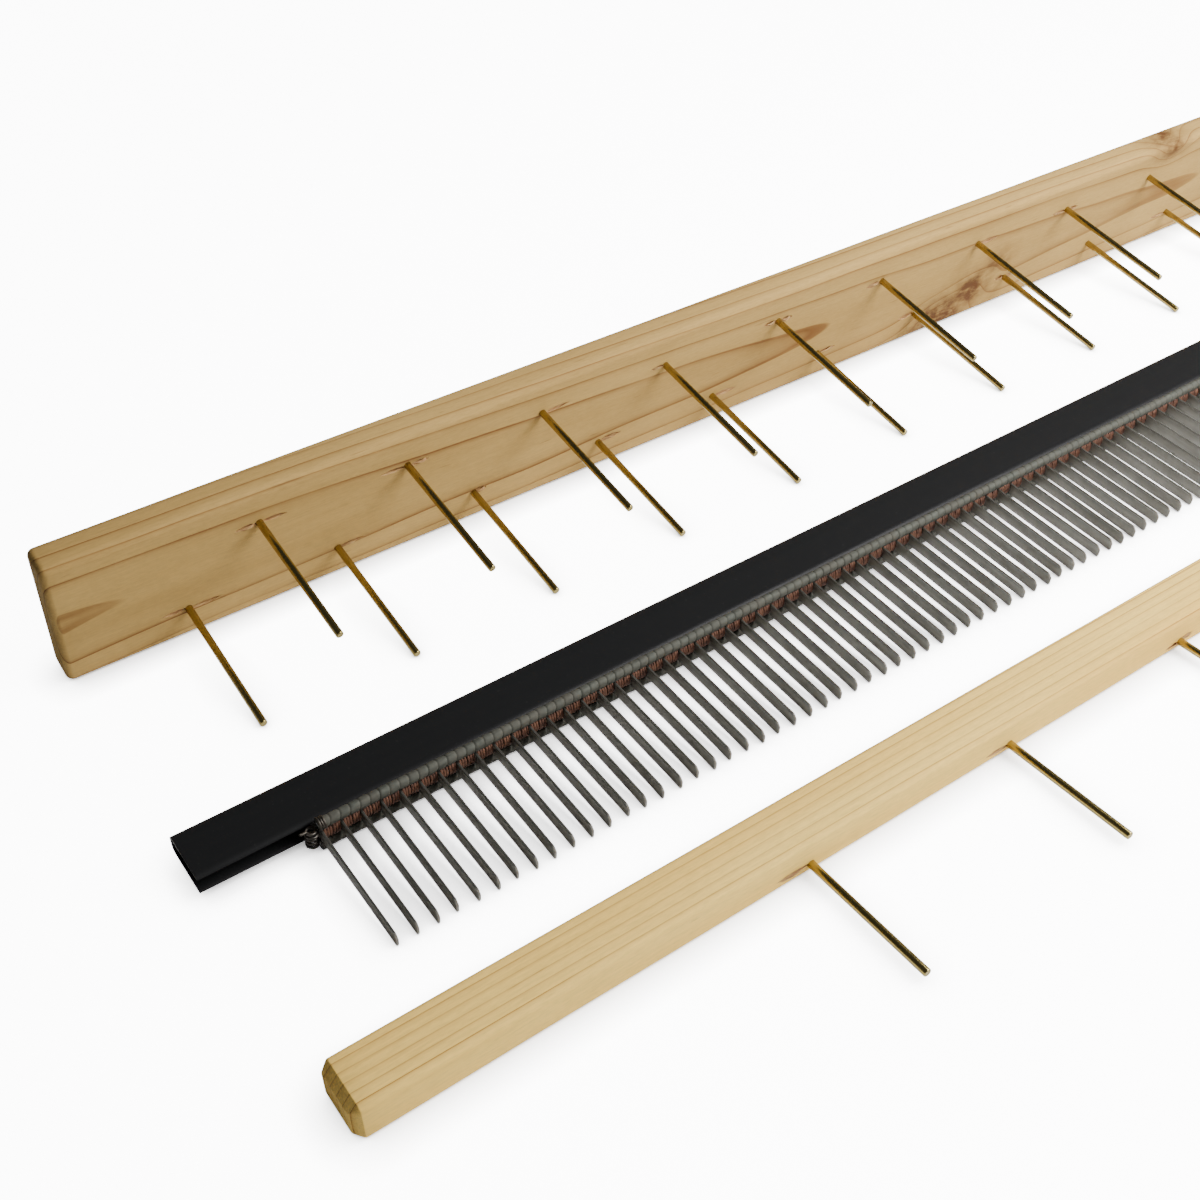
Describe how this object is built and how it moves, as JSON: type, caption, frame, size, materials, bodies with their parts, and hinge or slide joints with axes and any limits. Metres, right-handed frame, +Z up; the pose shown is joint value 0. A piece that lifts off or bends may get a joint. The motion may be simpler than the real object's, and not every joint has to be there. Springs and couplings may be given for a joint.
{
  "type": "warp spreading bar set",
  "caption": "Loom warp-spreading bars: a wooden board with staggered brass pins, an open steel reed held in a black plastic channel, and a slim wooden bar with widely spaced brass pins.",
  "frame": {"origin": "on the table, under the middle of the whole set of bars", "axes": "+X along the bars, to the right as seen from the pins' side; +Y away from the pins, towards the standing board's back; +Z up from the table"},
  "size_m": [0.7912, 0.2375, 0.0502],
  "materials": {
    "tan_wood": "planed softwood, unvarnished",
    "pale_wood": "planed softwood, unvarnished",
    "brass": "drawn, bright",
    "black_plastic": "satin extrusion",
    "dent_steel": "rolled flat wire",
    "wrap_steel": "dull wire wrapping",
    "rod_steel": "drawn rod",
    "copper_wire": "dull copper-coloured spacing wire"
  },
  "bodies": {
    "double_row_bar": {"double_row_bar": "tan_wood", "lower_pin_01": "brass", "lower_pin_02": "brass", "lower_pin_03": "brass", "lower_pin_04": "brass", "lower_pin_05": "brass", "lower_pin_06": "brass", "lower_pin_07": "brass", "lower_pin_08": "brass", "lower_pin_09": "brass", "lower_pin_10": "brass", "lower_pin_11": "brass", "lower_pin_12": "brass", "lower_pin_13": "brass", "lower_pin_14": "brass", "lower_pin_15": "brass", "upper_pin_01": "brass", "upper_pin_02": "brass", "upper_pin_03": "brass", "upper_pin_04": "brass", "upper_pin_05": "brass", "upper_pin_06": "brass", "upper_pin_07": "brass", "upper_pin_08": "brass", "upper_pin_09": "brass", "upper_pin_10": "brass", "upper_pin_11": "brass", "upper_pin_12": "brass", "upper_pin_13": "brass", "upper_pin_14": "brass"},
    "single_row_bar": {"single_row_bar": "pale_wood", "front_pin_1": "brass", "front_pin_2": "brass", "front_pin_3": "brass", "front_pin_4": "brass", "front_pin_5": "brass", "front_pin_6": "brass", "front_pin_7": "brass", "front_pin_8": "brass"},
    "reed_channel": {"reed_channel": "black_plastic"},
    "reed": {"reed_dents": "dent_steel", "upper_rib_rod": "rod_steel", "lower_rib_rod": "rod_steel", "upper_rib_wrap": "wrap_steel", "lower_rib_wrap": "wrap_steel", "left_end_tie": "wrap_steel", "right_end_tie": "wrap_steel"}
  },
  "joints": [
    {"name": "single_row_bar_lift", "type": "slide", "parent": "double_row_bar", "child": "single_row_bar", "axis": [0, 0, 1], "range_m": [0, 0.1]},
    {"name": "reed_channel_lift", "type": "slide", "parent": "double_row_bar", "child": "reed_channel", "axis": [0, 0, 1], "range_m": [0, 0.1]},
    {"name": "reed_slide", "type": "slide", "parent": "reed_channel", "child": "reed", "axis": [1, 0.008, 0], "range_m": [-0.028, 0.028]}
  ]
}
